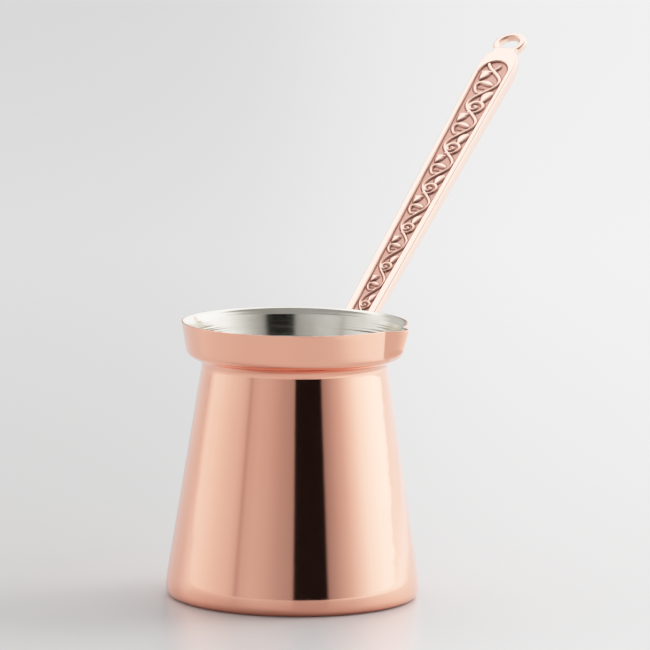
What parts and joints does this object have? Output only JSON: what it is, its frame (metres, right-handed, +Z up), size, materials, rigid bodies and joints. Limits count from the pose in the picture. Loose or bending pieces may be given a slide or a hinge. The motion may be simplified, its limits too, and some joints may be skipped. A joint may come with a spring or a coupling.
{
  "type": "turkish coffee pot cezve",
  "caption": "Spun copper coffee pot with wide flat base, tapering body, flared collar with a small spout, tin lining and a long ornamented handle ending in a hanging eye.",
  "frame": {"origin": "centre of the flat base, on the surface that the pot stands on", "axes": "+Z up along the pot's axis, +Y from the axis towards the handle, +X towards the pouring spout"},
  "size_m": [0.086, 0.2332, 0.1791],
  "materials": {
    "copper_sheet": "polished",
    "copper_cast": "gloss",
    "copper_rivet": "gloss",
    "tin": "satin"
  },
  "bodies": {
    "root": {"pot_shell": "copper_sheet", "tin_lining": "tin", "handle": "copper_cast", "rivet_left": "copper_rivet", "rivet_right": "copper_rivet", "rivet_lower": "copper_rivet"}
  },
  "joints": []
}
